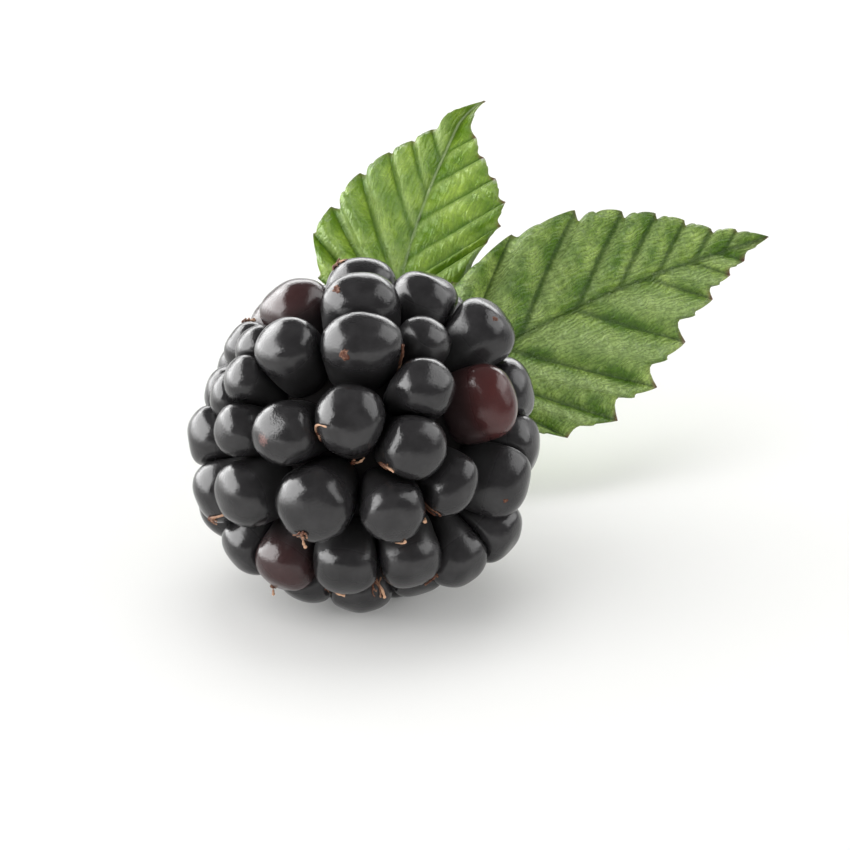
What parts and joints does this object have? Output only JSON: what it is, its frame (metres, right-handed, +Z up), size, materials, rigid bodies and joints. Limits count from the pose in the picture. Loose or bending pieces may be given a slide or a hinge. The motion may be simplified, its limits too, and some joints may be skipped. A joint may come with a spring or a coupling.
{
  "type": "bramble berry",
  "caption": "Ripe bramble berry lying on its side, drupelets grown together round a core, with its calyx, a short cut stalk and toothed leaves.",
  "frame": {"origin": "on the surface that the fruit lies on, below the middle of the whole object's box", "axes": "+Z up; the fruit's tip points towards -Y, and its stalk and leaves run back towards +Y"},
  "size_m": [0.0428, 0.0472, 0.025],
  "materials": {
    "berry_skin": "glossy near-black fruit skin",
    "calyx_felt": "pale green felted hair",
    "stalk_bark": "green young stalk",
    "leaf_blade": "satin green leaf",
    "dried_style": "dry tan thread"
  },
  "bodies": {
    "root": {"berry": "berry_skin", "calyx_cup": "calyx_felt", "sepal_1": "calyx_felt", "sepal_2": "calyx_felt", "sepal_3": "calyx_felt", "sepal_4": "calyx_felt", "sepal_5": "calyx_felt", "stalk": "stalk_bark", "leaf_right": "leaf_blade", "leaf_left": "leaf_blade"}
  },
  "joints": []
}
